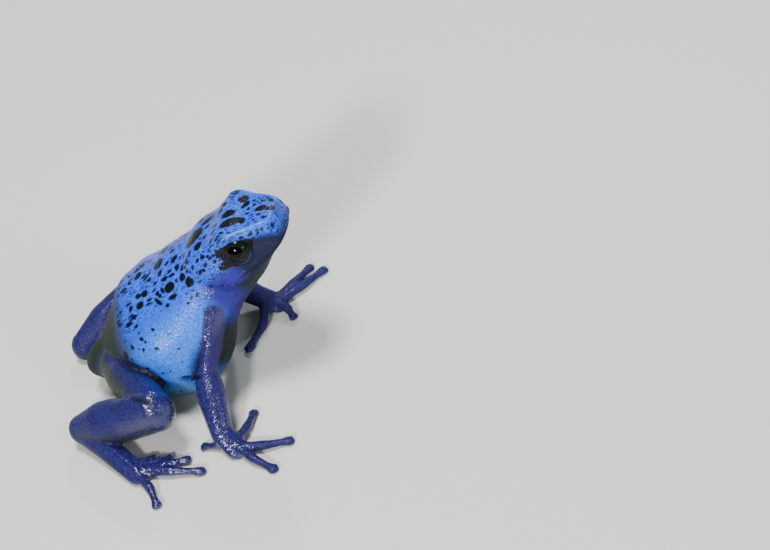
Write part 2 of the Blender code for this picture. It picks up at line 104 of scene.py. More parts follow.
# %% Curves and rings
def smooth_rows(rows, shares):
    """Rows of numbers read from a smooth curve that passes through all of them: between two rows
    it is the cubic that has their values and the mean slopes of their neighbours."""
    rows = np.asarray(rows, float)
    place = np.clip(np.asarray(shares, float), 0.0, 1.0) * (len(rows) - 1)
    before = np.minimum(place.astype(int), len(rows) - 2)
    t = (place - before)[:, None]
    slopes = np.gradient(rows, axis=0)
    start, end = rows[before], rows[before + 1]
    slope_start, slope_end = slopes[before], slopes[before + 1]
    return ((2 * t**3 - 3 * t**2 + 1) * start + (t**3 - 2 * t**2 + t) * slope_start
            + (3 * t**2 - 2 * t**3) * end + (t**3 - t**2) * slope_end)


def smoothstep(value, low, high):
    """Nought below low, one above high, and an even S between them."""
    t = np.clip((value - low) / (high - low), 0.0, 1.0)
    return t * t * (3 - 2 * t)


def bell(distance, spread):
    """One at no distance, falling off as the bell curve of that spread."""
    return np.exp(-(distance / spread) ** 2 / 2)


def unit(vector):
    """The same direction with length one, for one vector or for rows of them."""
    vector = np.asarray(vector, float)
    return vector / np.linalg.norm(vector, axis=-1, keepdims=True)


def section(angles, half, above, below, power_above, power_below):
    """Rings across and up: the power 2 / p of the cosine and of the sine of the angle, each with its
    sign, times the half width and the reach above or below."""
    cosine, sine = np.cos(angles)[None, :], np.sin(angles)[None, :]
    power = np.where(sine >= 0, np.reshape(power_above, (-1, 1)), power_below)
    reach = np.where(sine >= 0, above[:, None], below[:, None])
    across = half[:, None] * np.sign(cosine) * np.abs(cosine) ** (2 / power)
    upward = reach * np.sign(sine) * np.abs(sine) ** (2 / power)
    return across, upward


def turns(around):
    """That many even angles all round a ring, in radians."""
    return np.arange(around) * 2 * math.pi / around


def closed_surface(grid, first, last):
    """Points and faces of a grid of rings, closed all round and with a fan to a point at each end."""
    rows, around = grid.shape[:2]
    index = np.arange(rows * around).reshape(rows, around)
    beside = np.roll(index, -1, axis=1)
    quads = np.stack([index[:-1], beside[:-1], beside[1:], index[1:]], axis=-1).reshape(-1, 4)
    start_fan = np.stack([beside[0], index[0], np.full(around, rows * around)], axis=-1)
    end_fan = np.stack([index[-1], beside[-1], np.full(around, rows * around + 1)], axis=-1)
    points = np.concatenate([grid.reshape(-1, 3), [first, last]])
    return points, quads.tolist() + start_fan.tolist() + end_fan.tolist()


# %% The trunk
def trunk_surface(rows=150, around=200):
    """Rings square to the spine line in the upright plane, each a superellipse with its own reach
    above and below, along the smooth curve through the trunk's stations."""
    ahead, height, half, above, below = smooth_rows(TRUNK, np.linspace(0, 1, rows)).T
    heading = unit(np.stack([np.gradient(ahead), np.gradient(height)], axis=1))
    across, upward = section(turns(around), half, above, below, BACK_SQUARENESS, BELLY_SQUARENESS)
    grid = np.stack([ahead[:, None] - heading[:, 1:] * upward, across,
                     height[:, None] + heading[:, :1] * upward], axis=-1)
    ends = [(ahead[i] + way * heading[i, 0] * 0.6 * above[i], 0.0,
             height[i] + way * heading[i, 1] * 0.6 * above[i]) for i, way in ((0, -1), (-1, 1))]
    return closed_surface(grid, *ends)


# %% The head
HEAD_TURN = np.array((Matrix.Rotation(math.radians(HEAD_YAW), 3, "Z")
                      @ Matrix.Rotation(math.radians(-HEAD_PITCH), 3, "Y")
                      @ Matrix.Rotation(math.radians(HEAD_ROLL), 3, "X")))


def from_head(points):
    """Body places of points given in the head's frame."""
    return np.asarray(points) @ HEAD_TURN.T + NECK


def to_head(points):
    """Head's-frame places of points given in the body's."""
    return (np.asarray(points) - NECK) @ HEAD_TURN


def head_surface(rows=150, around=200):
    """Superellipse rings from the neck to the snout, pushed outward over each eye by a bell curve."""
    ahead, half, widest, top, bottom, crown = smooth_rows(HEAD, np.linspace(0, 1, rows)).T
    across, upward = section(turns(around), half, top - widest, widest - bottom,
                             crown, THROAT_SQUARENESS)
    grid = np.stack([np.broadcast_to(ahead[:, None], across.shape), across,
                     widest[:, None] + upward], axis=-1)
    middle = np.stack([ahead, np.zeros(rows), (top + bottom) / 2], axis=1)[:, None, :]
    rise = sum(bell(np.linalg.norm(grid - BROW_CREST * (1, side, 1), axis=-1), BROW_SPREAD)
               for side in (1, -1)) * BROW_RISE
    grid = grid + unit(grid - middle) * rise[..., None]
    back = (HEAD[0][0] - 0.5, 0.0, HEAD[0][2])
    points, faces = closed_surface(grid, back, SNOUT_TIP)
    return from_head(points), faces


pieces = [trunk_surface(), head_surface()]
print("trunk and head:", [len(points) for points, faces in pieces], "points")

# %% [markdown]
# ## Arms, legs and digits
#
# A limb is a chain of lengths from joint to joint. A skin modifier over a stick figure would be quick,
# but its girth is hard to set, so each length is a profile carried along a path: a round tube whose half
# width and half depth are read from a small table, with a rounded end at each joint. The digits are thin
# tubes that swell at the knuckle and end in a blunt disc, the grip of a frog that climbs.

# %% Joints and girths
JOINTS = {
    "right": {
        "shoulder": (20.9, -6.1, 14.3), "elbow": (17.3, -11.2, 6.7), "wrist": (17.6, -18.0, 2.3),
        "palm": (19.2, -20.3, 0.85),
        "hip": (3.6, -3.0, 5.6), "knee": (9.7, -15.6, 7.3), "heel": (-2.5, -10.6, 2.4),
        "sole": (4.9, -20.3, 0.78),
    },
    "left": {
        "shoulder": (22.2, 6.2, 13.7), "elbow": (17.3, 11.2, 6.6), "wrist": (24.1, 7.0, 2.3),
        "palm": (26.6, 5.9, 0.85),
        "hip": (3.6, 3.0, 5.4), "knee": (9.8, 14.7, 3.7), "heel": (-2.2, 6.6, 1.9),
        "sole": (4.2, 15.7, 0.85),
    },
}
# Each length's ends, and its girth: share of the way along, half width across the bend, half depth.
LENGTHS = {
    "upper_arm": ("shoulder", "elbow", ((0.0, 2.2, 2.25), (0.2, 1.9, 1.95), (0.4, 1.55, 1.6),
                                        (0.8, 1.45, 1.5), (1.0, 1.6, 1.65))),
    "forearm": ("elbow", "wrist", ((0.0, 1.85, 1.9), (0.35, 2.1, 2.1), (0.75, 1.85, 1.8), (1.0, 1.6, 1.5))),
    "hand": ("wrist", "palm", ((0.0, 1.65, 1.45), (0.6, 1.7, 1.1), (1.0, 1.75, 0.85))),
    "thigh": ("hip", "knee", ((0.0, 2.3, 2.6), (0.3, 2.9, 3.2), (0.7, 2.95, 3.15), (1.0, 2.65, 2.75))),
    "shank": ("knee", "heel", ((0.0, 2.75, 3.3), (0.25, 3.05, 3.4), (0.7, 3.1, 3.4), (1.0, 2.1, 2.35))),
    "foot": ("heel", "sole", ((0.0, 1.95, 2.0), (0.4, 1.75, 1.55), (0.8, 1.75, 1.1), (1.0, 1.75, 0.9))),
}
# Digits: share of the way along the hand or foot where each grows out, its bend, and its tip.
FINGERS = {
    "right": (
        (0.45, (16.8, -18.9, 0.8), (14.0, -17.9, 0.38)),
        (0.85, (21.0, -16.9, 0.95), (22.1, -13.7, 0.38)),
        (1.0, (23.2, -21.2, 0.9), (27.4, -21.2, 0.38)),
        (0.9, (21.6, -23.2, 0.85), (24.6, -26.0, 0.38)),
    ),
    "left": (
        (0.45, (24.3, 2.2, 0.85), (21.6, -1.9, 0.38)),
        (0.85, (28.2, 4.0, 0.95), (29.0, 2.1, 0.38)),
        (1.0, (30.6, 7.9, 0.9), (34.4, 10.8, 0.38)),
        (0.9, (29.4, 9.0, 0.85), (32.3, 12.1, 0.38)),
    ),
}
TOES = {
    "right": (
        (0.84, (6.3, -18.3, 0.9), (7.4, -17.4, 0.38)),
        (0.9, (7.6, -19.0, 0.9), (9.9, -18.5, 0.38)),
        (0.97, (8.8, -20.1, 0.95), (12.5, -19.6, 0.38)),
        (0.95, (9.6, -21.5, 0.95), (14.5, -22.7, 0.38)),
        (0.88, (6.5, -23.6, 0.9), (7.35, -27.1, 0.38)),
    ),
    "left": (
        (0.84, (6.0, 16.2, 0.9), (7.2, 16.0, 0.38)),
        (0.9, (6.9, 17.2, 0.9), (8.9, 17.5, 0.38)),
        (0.97, (7.6, 18.3, 0.95), (10.6, 19.6, 0.38)),
        (0.95, (7.8, 19.7, 0.95), (11.4, 22.3, 0.38)),
        (0.88, (5.6, 19.4, 0.9), (7.0, 22.6, 0.38)),
    ),
}
DIGIT_GIRTH = ((0.0, 0.85, 0.85), (0.3, 0.68, 0.68), (0.5, 0.72, 0.68), (0.62, 0.6, 0.56),
               (0.8, 0.54, 0.5), (0.88, 0.78, 0.48), (0.95, 0.86, 0.46), (1.0, 0.62, 0.36))
DIGIT_RADII = ((0, 0.75), (1, 0.65))      # mean radius at the root and the tip of each half of a digit
UP = np.array([0.0, 0.0, 1.0])


# %% Tubes along a path
def girth_at(table, shares):
    """Columns of a girth table at those shares of the way along."""
    table = np.asarray(table, float)
    return np.stack([np.interp(shares, table[:, 0], column) for column in table[:, 1:].T], axis=1)


def tube(path, half_width, half_depth, around=48):
    """Elliptic rings square to a path, their depth as near upright as the path allows."""
    heading = unit(np.gradient(path, axis=0))
    side = unit(np.cross(heading, UP))
    rise = np.cross(side, heading)
    angles = turns(around)
    return (path[:, None, :] + half_width[:, None, None] * np.cos(angles)[None, :, None] * side[:, None, :]
            + half_depth[:, None, None] * np.sin(angles)[None, :, None] * rise[:, None, :])


def limb_surface(start, end, table, rows=40, cap=10):
    """A straight length with its girth from the table, closed by a half ellipsoid at each joint."""
    start, end = np.asarray(start, float), np.asarray(end, float)
    along = unit(end - start)
    girth = girth_at(table, np.linspace(0, 1, rows))
    turn = np.linspace(math.radians(84), math.radians(4), cap)
    caps = []
    for joint, way, size in ((start, -1, girth[0]), (end, 1, girth[-1])):
        points = joint + way * along * (size[0] * np.sin(turn))[:, None]
        caps.append((points, np.cos(turn)[:, None] * size))
    middle = start + np.linspace(0, 1, rows)[:, None] * (end - start)
    path = np.concatenate([caps[0][0], middle, caps[1][0][::-1]])
    sizes = np.concatenate([caps[0][1], girth, caps[1][1][::-1]])
    grid = tube(path, sizes[:, 0], sizes[:, 1])
    return closed_surface(grid, start - along * girth[0, 0], end + along * girth[-1, 0])


def digit_surface(root, bend, tip, rows=60):
    """A slim tube along the smooth curve from root by bend to tip, swollen at the knuckle and disc."""
    root, bend, tip = (np.asarray(point, float) for point in (root, bend, tip))
    shares = np.linspace(0, 0.985, rows)
    path = smooth_rows([root, (root + bend) / 2, bend, (bend + tip) / 2, tip], shares)
    girth = girth_at(DIGIT_GIRTH, shares)
    grid = tube(path, girth[:, 0], girth[:, 1], around=24)
    return closed_surface(grid, root - unit(bend - root) * 0.3, tip + unit(tip - bend) * 0.25)


# %% Limbs and digits in place
segments = []                 # each length's ends and its mean radius along the way
for side, joints in JOINTS.items():
    for name, (start, end, table) in LENGTHS.items():
        pieces.append(limb_surface(joints[start], joints[end], table))
        radii = [(share, (wide + deep) / 2) for share, wide, deep in table]
        segments.append((name, side, np.array(joints[start]), np.array(joints[end]), radii))
    for digits, start, end in ((FINGERS, "wrist", "palm"), (TOES, "heel", "sole")):
        for share, bend, tip in digits[side]:
            root = np.multiply(joints[start], 1 - share) + np.multiply(joints[end], share)
            pieces.append(digit_surface(root, bend, tip))
            for first, last in ((root, bend), (bend, tip)):
                segments.append(("digit", side, np.array(first), np.array(last), DIGIT_RADII))
print(len(pieces), "closed surfaces, to be grown into one skin")

# %% [markdown]
# ## One skin
#
# The surfaces cross one another like blown-up parts. A voxel remesh keeps only what faces outward and
# covers it with even little squares, and a few rounds of smoothing pull the skin taut over the joins, as
# it lies over shoulders and hips. Digits get fewer rounds, or they would shrink.


# %% Mesh arrays
def mesh_arrays(mesh):
    """Points, and the pair of point numbers of each edge."""
    points = np.empty(len(mesh.vertices) * 3)
    mesh.vertices.foreach_get("co", points)
    edges = np.empty(len(mesh.edges) * 2, np.int64)
    mesh.edges.foreach_get("vertices", edges)
    return points.reshape(-1, 3), edges.reshape(-1, 2)


def outward_normals(points, mesh):
    """Unit normals of the mesh at its points."""
    mesh.vertices.foreach_set("co", points.ravel())
    mesh.update()
    normals = np.empty(len(points) * 3)
    mesh.vertex_normals.foreach_get("vector", normals)
    return normals.reshape(-1, 3)


def write_attribute(mesh, name, values):
    """Keeps one number for each point on the mesh, where a material can read it."""
    mesh.attributes.new(name, "FLOAT", "POINT").data.foreach_set("value", np.ascontiguousarray(values))


def shown(name, data):
    """An object in the scene, at the origin, for this mesh, camera or lamp."""
    made = bpy.data.objects.new(name, data)
    bpy.context.scene.collection.objects.link(made)
    return made


def grown_together(surfaces, voxel):
    """One mesh whose surface is the outside of all these closed surfaces."""
    mesh = bpy.data.meshes.new("grown")
    points, faces, first = [], [], 0
    for own_points, own_faces in surfaces:
        points.append(own_points)
        faces += [[first + corner for corner in face] for face in own_faces]
        first += len(own_points)
    mesh.from_pydata(np.concatenate(points).tolist(), [], faces)
    holder = shown("grown", mesh)
    remesh = holder.modifiers.new("remesh", "REMESH")
    remesh.mode = "VOXEL"
    remesh.voxel_size = voxel
    graph = bpy.context.evaluated_depsgraph_get()
    result = bpy.data.meshes.new_from_object(holder.evaluated_get(graph))
    bpy.data.objects.remove(holder)
    bpy.data.meshes.remove(mesh)
    return result


def relaxed(points, edges, rounds, weight):
    """Each point's row of numbers moved toward the mean of its neighbours' by its weight, that many
    times. The weight is one number, or one for each point."""
    count = np.bincount(edges.ravel(), minlength=len(points))[:, None]
    weight = np.broadcast_to(weight, len(points))[:, None]
    for _ in range(rounds):
        total = np.stack([np.bincount(edges[:, 0], points[edges[:, 1], axis], len(points))
                          + np.bincount(edges[:, 1], points[edges[:, 0], axis], len(points))
                          for axis in range(points.shape[1])], axis=1)
        points = points + weight * (total / np.maximum(count, 1) - points)
    return points


# %% Where a point lies
def segment_distance(points, start, end, radii):
    """Distance from the skin of a straight length: from its axis, less the radius there."""
    along = end - start
    share = np.clip((points - start) @ along / (along @ along), 0, 1)
    near = start + share[:, None] * along
    return np.linalg.norm(points - near, axis=1) - np.interp(share, *np.transpose(radii))


def nearest_length(points, names, side=None):
    """Least distance from the skin of the named lengths, on one side or on both."""
    found = np.full(len(points), 1e3)
    for name, own_side, start, end, radii in segments:
        if name in names and side in (None, own_side):
            found = np.minimum(found, segment_distance(points, start, end, radii))
    return found


VOXEL = 0.275                 # side of the little squares
HALFWAY = 0.5                 # weight that moves a point half of the way in each round
skin_mesh = grown_together(pieces, VOXEL)
points, edges = mesh_arrays(skin_mesh)
digit_near = 1 - smoothstep(nearest_length(points, ("digit",)), 0.2, 1.2)
points = relaxed(points, edges, 3, HALFWAY * (1 - 0.6 * digit_near))
print(len(points), "points after growing the skin together")

# %% Folds
FOLD_REACH = 30               # rounds of smoothing that a fold is measured against
FOLD_LIMIT = 0.35             # hollowness past which a fold grows no deeper
FOLD_DEPTH = 2.0              # how many times as deep a fold is made


def hollowness(points, mesh, edges):
    """How far the skin's smoothed place lies outside it, in millimetres: more than nought in a fold
    between two parts, less than nought on a crest."""
    spread = relaxed(points, edges, FOLD_REACH, HALFWAY)
    return np.sum((spread - points) * outward_normals(points, mesh), axis=1)


fold = np.clip(hollowness(points, skin_mesh, edges), 0, FOLD_LIMIT) * (1 - digit_near)
fold = relaxed(fold[:, None], edges, 4, HALFWAY)[:, 0]
points = points - outward_normals(points, skin_mesh) * (fold * FOLD_DEPTH)[:, None]
# Further down, this mask is mixed nearly black into the skin's colour, as painted shade in the folds.
write_attribute(skin_mesh, "shaded_fold_mask", smoothstep(fold, 0.05, 0.2))
print("folds deepened by up to", round(fold.max() * FOLD_DEPTH, 2), "mm")

# %% [markdown]
# ## The head up close
#
# The lids, lips and nostrils need finer squares than the belly, so the face is divided once more, and
# the rims of the eyes twice. The forms are then pushed out of the skin by formulas in the head's frame.
# This keeps them exactly where the solid's are, and each depth is one number.

# %% Finer squares on the face
MOUTH = np.array([
    (4.2, 1.0, -2.0),
    (6.5, 1.0, -1.75),
    (8.6, 1.0, -1.6),
    (10.3, 1.0, -1.25),
    (11.3, 0.97, -0.95),
    (11.95, 0.6, -0.75),
    (12.2, 0.0, -0.7),
])
NOSTRIL = np.array([11.9, 2.4, 1.5])
FACE_BACK, FACE_SIDE, FACE_LOW = 3.9, 7.5, -3.4


def divided(points, mesh, chosen):
    """The mesh with each edge between two chosen points halved and its faces filled to match."""
    mesh.vertices.foreach_set("co", points.ravel())
    shape = bmesh.new()
    shape.from_mesh(mesh)
    picked = [edge for edge in shape.edges
              if chosen[edge.verts[0].index] and chosen[edge.verts[1].index]]
    bmesh.ops.subdivide_edges(shape, edges=picked, cuts=1, use_grid_fill=True)
    shape.to_mesh(mesh)
    shape.free()
    return mesh_arrays(mesh)


def left_half(in_head):
    """Places in the head's frame, with those on its right mirrored to its left."""
    return in_head * (1, 0, 1) + np.abs(in_head) * (0, 1, 0)


def eye_distance(in_head):
    """Distance from the nearer eye's centre, in the head's frame."""
    return np.linalg.norm(left_half(in_head) - EYE, axis=1)


in_head = to_head(points)
face = (in_head[:, 0] > FACE_BACK) & (np.abs(in_head[:, 1]) < FACE_SIDE) & (in_head[:, 2] > FACE_LOW)
points, edges = divided(points, skin_mesh, face)
in_head = to_head(points)
points = relaxed(points, edges, 4, HALFWAY * ((in_head[:, 0] > 3.0) & (in_head[:, 2] > -5.0)))
in_head = to_head(points)
points, edges = divided(points, skin_mesh, eye_distance(in_head) < 3.4)
in_head = to_head(points)
points = relaxed(points, edges, 4, HALFWAY * (eye_distance(in_head) < 3.6))
print(len(points), "points with the finer face")


# %% Lids
LID_OPEN = math.radians(66)   # half angle of the opening between the lids
LID_MARGIN = 0.3              # height of the lid's rim over the eyeball


def eye_axes(side):
    """An eye's centre, the way it looks, the way ahead across that, and the way square to both."""
    looks = unit(EYE_FACES * (1, side, 1))
    ahead = unit(np.cross(looks, np.cross((1, 0, 0), looks)))
    return EYE * (1, side, 1), looks, ahead, np.cross(looks, ahead)


def set_eye(in_head, side):
    """Round an eye the skin is given by its distance from the eye's centre: inside the opening it
    dips behind the eyeball, at the rim it stands a little proud, and then it eases back to the
    head's own form. Gives the places, the angle past the rim in degrees, and how far up round
    the eye a place lies, from one at the top to minus one at the bottom."""
    centre, looks, ahead, lift = eye_axes(side)
    away = in_head - centre
    radius = np.linalg.norm(away, axis=1)
    from_axis = np.arccos(np.clip(away @ looks / radius, -1, 1))
    around = np.arctan2(away @ (lift * -side), away @ ahead)
    rise = np.sin(around)
    opening = LID_OPEN * (1 - 0.06 * np.abs(rise) - 0.26 * np.clip(rise, 0, 1) + 0.05 * np.cos(around))
    past = np.degrees(from_axis - opening)
    upper = smoothstep(rise, -0.2, 0.5)
    margin = LID_MARGIN * (0.75 + 0.45 * upper)
    shape = EYE_RADIUS - 0.4 + (0.4 + margin) * smoothstep(past, -7, 4)
    near = radius < 5.0
    hold = near * (1 - smoothstep(past, 4, 28 - 14 * upper))
    new_radius = radius + hold * (shape - radius) - 0.1 * bell(past - 15, 4) * (near * (1 - 0.6 * upper))
    return centre + away * (new_radius / radius)[:, None], np.where(near, past, 180), rise


past_rim = np.full(len(points), 180.0)
rim_rise = np.zeros(len(points))
for side in (1, -1):
    own = in_head[:, 1] * side > 0
    moved, past, rise = set_eye(in_head, side)
    in_head = np.where(own[:, None], moved, in_head)
    past_rim = np.where(own, past, past_rim)
    rim_rise = np.where(own, rise, rim_rise)
points = from_head(in_head)


# %% Mouth, lips, nostrils and the ridge before the eye
def line_distance(in_head, start, end):
    """Distance from a straight stroke on both cheeks, and the share of the way along it."""
    away = left_half(in_head) - start
    stroke = np.subtract(end, start)
    share = np.clip(away @ stroke / (stroke @ stroke), 0, 1)
    return np.linalg.norm(away - share[:, None] * stroke, axis=1), share


def mouth_offset(in_head):
    """Height above the line of the mouth, and one along that line, fading out at its corners."""
    height = in_head[:, 2] - np.interp(in_head[:, 0], MOUTH[:, 0], MOUTH[:, 2])
    return height, smoothstep(in_head[:, 0], 3.6, 4.9)


def ridge_distance(in_head):
    """Distance from the ridge that runs from over each eye to the snout."""
    return np.min([line_distance(in_head, *ends)[0] for ends in zip(RIDGE, RIDGE[1:])], axis=0)


def face_forms(in_head):
    """How far each point of the face is pushed out: in at the slit of the mouth, the nostrils and the
    hollow under the ridge, out at the lips, the ridge and the rim of the nostrils."""
    height, along = mouth_offset(in_head)
    push = along * (-SLIT_DEPTH * bell(height, 0.1) + UPPER_LIP * bell(height - 0.42, 0.22)
                    + LOWER_LIP * bell(height + 0.42, 0.24))
    from_nostril = np.linalg.norm(left_half(in_head) - NOSTRIL, axis=1)
    push += NOSTRIL_RIM * bell(from_nostril - 0.6, 0.17) - NOSTRIL_DEPTH * bell(from_nostril, 0.27)
    push += RIDGE_RISE * bell(ridge_distance(in_head), 0.42)
    return push - HOLLOW_DEPTH * bell(line_distance(in_head, *HOLLOW)[0], 0.7)


RIDGE = ((4.8, 5.0, 4.3), (6.3, 4.9, 4.3), (7.2, 4.55, 4.1), (8.3, 4.0, 3.65), (9.2, 3.7, 3.4),
         (10.0, 3.3, 3.2), (10.8, 2.9, 2.95), (11.5, 2.35, 2.5), (12.0, 1.6, 1.9))
HOLLOW = ((9.2, 4.5, 1.2), (10.8, 3.7, 0.7))
SLIT_DEPTH, UPPER_LIP, LOWER_LIP = 0.34, 0.13, 0.1
NOSTRIL_DEPTH, NOSTRIL_RIM, RIDGE_RISE, HOLLOW_DEPTH = 0.6, 0.05, 0.26, 0.25
shaded_fold_mask = np.empty(len(points))
skin_mesh.attributes["shaded_fold_mask"].data.foreach_get("value", shaded_fold_mask)
normals = outward_normals(points, skin_mesh)
on_face = in_head[:, 0] > 3.2
push = np.where(on_face, face_forms(in_head), 0)
points = points + normals * push[:, None]
points[:, 2] = np.maximum(points[:, 2], 0.0)
in_head = to_head(points)
print("face forms reach from", round(push.min(), 2), "to", round(push.max(), 2), "mm")

# %% Creases at the bends and the ridge of each foot
# Joints, and how far outside the bend its crease starts and is whole.
BENDS = (
    ("shoulder", "elbow", "wrist", -1.4, 0.0),
    ("hip", "knee", "heel", 3.0, 0.8),
)
CREASE_DEPTH, FOOT_RIDGE_RISE = 0.45, 0.26


def bend_crease(points, start, bend, end, low, high):
    """How near the plane that halves a bend a point lies, from nought to one, faded in between two
    distances outside the bend, and gone four millimetres from the joint."""
    first, second = unit(np.subtract(bend, start)), unit(np.subtract(end, bend))
    away = points - bend
    near = bell(away @ unit(first + second), 0.2) * (1 - smoothstep(np.linalg.norm(away, axis=1), 3.0, 4.2))
    return near * smoothstep(away @ unit(first - second), low, high)


crease = np.zeros(len(points))
foot_ridge = np.full(len(points), 9.0)
for side, joints in JOINTS.items():
    for *names, low, high in BENDS:
        own = bend_crease(points, *[joints[name] for name in names], low, high)
        crease = np.maximum(crease, own)
    heel, sole = np.add(joints["heel"], (0, 0, 1.9)), np.add(joints["sole"], (0, 0, 0.9))
    foot_ridge = np.minimum(foot_ridge, segment_distance(points, heel, sole, ((0, 0), (1, 0))))
points = points + normals * (FOOT_RIDGE_RISE * bell(foot_ridge, 0.3) - CREASE_DEPTH * crease)[:, None]
points[:, 2] = np.maximum(points[:, 2], 0.0)
# The creases join that mask, so they get painted shade as well.
shaded_fold_mask = np.maximum(shaded_fold_mask, np.minimum(1.5 * crease, 1))
print("creases at", 2 * len(BENDS), "bends")

# %% [markdown]
# ## Where the markings go
#
# A frog's markings follow its body: netting and spots on the back, plain sky blue on the flanks, dark
# cobalt limbs. Painting them would take a picture and a UV map with seams. Instead each point of the skin
# gets a few soft masks worked out from its place, and the material mixes its colours by them. Some masks
# paint shade, green reflected light and highlights into the colour as well.


# %% Along and around the body
AXIS = unit([33.0, 0.0, 18.5])            # from the vent to the head
AXIS_START = np.array([0.0, 0.0, 4.5])
AXIS_SINK = 2.0               # how far under the axis the angle round it is measured from


def body_coordinates(points):
    """Millimetres along the axis from the vent, and the angle round it from the top, positive to the
    left. The middle line bends with the neck, so that it runs up the middle of the head too."""
    middle = np.maximum(points[:, 0] - NECK[0], 0) * math.tan(math.radians(HEAD_YAW))
    away = points - AXIS_START
    upward = away @ np.cross(AXIS, (0, 1, 0))
    return away @ AXIS, np.arctan2(points[:, 1] - middle, upward + AXIS_SINK)


along, turn = body_coordinates(points)
print("the skin runs", round(along.max() - along.min(), 1), "mm along the body's axis")

# %% [markdown]
# ## The camera
#
# The camera stands where the photo was taken from. Its angles and its distance could be set by eye, but
# a few well known points, such as the eye, the knee and the toes, fix them better. The roll is there
# because the frog sat on a slope and here it sits on a level floor.

# %% Camera
CAMERA_TURN, CAMERA_LIFT, CAMERA_ROLL = 10.72, 42.72, -22.52
CAMERA_AWAY = 420.0
CAMERA_ASIDE = (40.37, 15.53)             # to the camera's right and up, so the frog sits left in the frame
CAMERA_LENS = 135.93
SENSOR_WIDTH = 36.0
PHOTO_SIZE = (770, 550)


def camera_axes(turn, lift, roll):
    """The camera's right, up and back for a turn round the frog, a lift above the floor and a roll."""
    turn, lift, roll = np.radians([turn, lift, roll])
    back = np.array([math.sin(turn) * math.cos(lift), -math.cos(turn) * math.cos(lift), math.sin(lift)])
    right = np.array([math.cos(turn), math.sin(turn), 0.0])
    up = np.cross(back, right)
    return (math.cos(roll) * right + math.sin(roll) * up,
            math.cos(roll) * up - math.sin(roll) * right, back)


view_right, view_up, view_back = camera_axes(CAMERA_TURN, CAMERA_LIFT, CAMERA_ROLL)
camera_place = view_right * CAMERA_ASIDE[0] + view_up * CAMERA_ASIDE[1] + view_back * CAMERA_AWAY

# %% Spots seen in the photo
# Each big spot: its pixel across and down, its length and width in millimetres as seen, and the tilt
# of its long side above level in degrees.
SPOTS = (
    (192.8, 237.6, 3.6, 1.5, 30), (197.6, 246.1, 1.45, 0.85, 45), (208.8, 219.4, 2.5, 0.7, 22),
    (227.8, 213.9, 2.3, 0.9, 25), (229.8, 221.8, 3.3, 1.1, 28), (241.5, 220.6, 1.1, 0.8, 30),
    (243.3, 198.8, 1.6, 1.0, 35), (260.7, 207.9, 1.8, 0.75, 25), (270.0, 208.1, 1.3, 0.55, 5),
    (220.0, 211.5, 1.0, 0.55, 35), (255.8, 224.6, 0.65, 0.45, 20), (263.7, 217.0, 0.9, 0.4, 0),
    (248.4, 208.8, 0.6, 0.4, 45), (242.2, 207.6, 0.5, 0.35, 30), (158.2, 264.0, 1.95, 1.1, 50),
    (182.1, 277.3, 1.2, 0.9, 95), (169.4, 287.4, 1.6, 1.4, 20), (144.4, 293.8, 1.1, 0.9, 60),
    (140.0, 305.4, 1.25, 1.0, 70), (130.7, 308.9, 1.0, 0.55, 80), (129.4, 283.0, 0.65, 0.5, 40),
    (149.3, 279.9, 0.75, 0.5, 30), (174.0, 258.8, 1.6, 0.6, 60), (158.0, 301.6, 1.5, 0.6, -30),
    (159.7, 273.3, 1.2, 0.5, 60), (162.1, 290.3, 0.9, 0.6, -40), (183.3, 255.8, 1.0, 0.5, 85),
    (189.4, 253.3, 0.9, 0.4, 75), (159.7, 253.3, 0.9, 0.5, 35), (171.8, 250.9, 1.1, 0.45, 35),
    (150.0, 261.0, 0.8, 0.5, 35), (176.0, 240.6, 0.8, 0.4, 60), (207.0, 226.7, 1.1, 0.4, 35),
    (214.8, 225.5, 0.9, 0.5, 35), (213.0, 231.5, 1.2, 0.45, 30), (204.5, 237.0, 1.1, 0.4, 25),
    (192.4, 267.3, 0.7, 0.45, 70), (205.8, 264.8, 0.9, 0.6, 60), (166.4, 263.6, 0.9, 0.4, 50),
    (191.4, 297.9, 0.65, 0.4, 60), (210.9, 286.2, 0.65, 0.35, 0), (152.9, 329.7, 0.65, 0.5, -20),
    (141.4, 339.2, 0.7, 0.6, 0), (145.4, 342.1, 0.45, 0.4, 0), (157.2, 349.0, 0.9, 0.5, -10),
    (138.8, 349.3, 0.4, 0.35, 0), (132.2, 347.3, 0.9, 0.5, -70), (125.9, 355.3, 1.1, 0.8, 80),
)
SPOT_DEPTH = 1.5              # millimetres through the skin that a spot reaches
LEAST_SEEN = 0.55             # share below which a spot's tilt away is not made up for
HIDDEN_TURN = -0.25           # angle round the body past which a spot is mirrored


def skin_tree(points, mesh):
    """The skin's triangles, ready to be struck by rays."""
    mesh.calc_loop_triangles()
    corners = np.empty(len(mesh.loop_triangles) * 3, np.int32)
    mesh.loop_triangles.foreach_get("vertices", corners)
    return BVHTree.FromPolygons(points.tolist(), corners.reshape(-1, 3).tolist())


def pixel_ray(across, down):
    """Direction from the camera through a pixel of the photo."""
    pixels = CAMERA_LENS / SENSOR_WIDTH * PHOTO_SIZE[0]
    return unit(view_right * (across - PHOTO_SIZE[0] / 2) - view_up * (down - PHOTO_SIZE[1] / 2)
                - view_back * pixels)


def spot_here(centre, normal, direction, length, width):
    """Centre, the two way vectors over the half length and half width, and the depth of a spot."""
    long_way = direction - normal * (direction @ normal)
    seen = max(np.linalg.norm(long_way), LEAST_SEEN)
    long_way = unit(long_way)
    wide_way = np.cross(normal, long_way)
    wide_seen = max(np.linalg.norm(wide_way - view_back * (wide_way @ view_back)), LEAST_SEEN)
    return (centre, long_way * 2 * seen / length, wide_way * 2 * wide_seen / width,
            normal / SPOT_DEPTH, width / 2)


